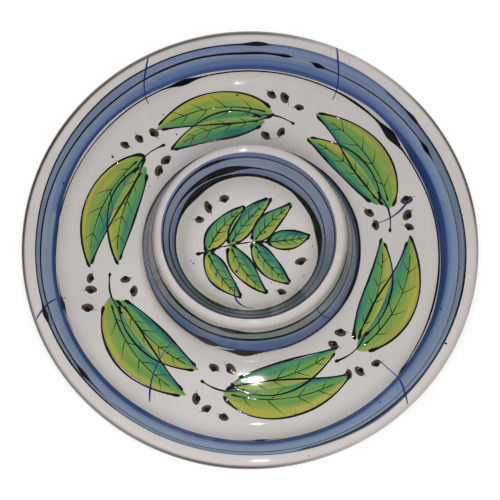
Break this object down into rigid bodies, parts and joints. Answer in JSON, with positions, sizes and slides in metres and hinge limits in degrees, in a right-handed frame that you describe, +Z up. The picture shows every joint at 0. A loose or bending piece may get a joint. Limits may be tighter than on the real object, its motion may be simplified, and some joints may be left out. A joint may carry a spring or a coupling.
{
  "type": "serving plate with dip bowl",
  "caption": "Round glazed earthenware serving plate with a flared wall, a rolled rim and a raised dip bowl fixed in its middle, on a foot ring.",
  "frame": {"origin": "on the table under the middle of the plate", "axes": "+Z up along the plate's axis, +X to the right and +Y away in the picture's view"},
  "size_m": [0.34, 0.34, 0.0535],
  "materials": {
    "clay": "fired earthenware, bare and matt where it shows",
    "slip": "fired slip, matt",
    "painted_glaze": "glossy opaque white glaze, banded in blue and black and painted with leaves",
    "plain_glaze": "glossy opaque white glaze, bare"
  },
  "bodies": {
    "root": {"plate": "clay", "dip_bowl": "clay", "foot_ring": "clay", "bowl_luting": "slip", "foot_luting": "slip", "face_glaze": "painted_glaze", "back_glaze": "plain_glaze", "hollow_glaze": "plain_glaze"}
  },
  "joints": []
}
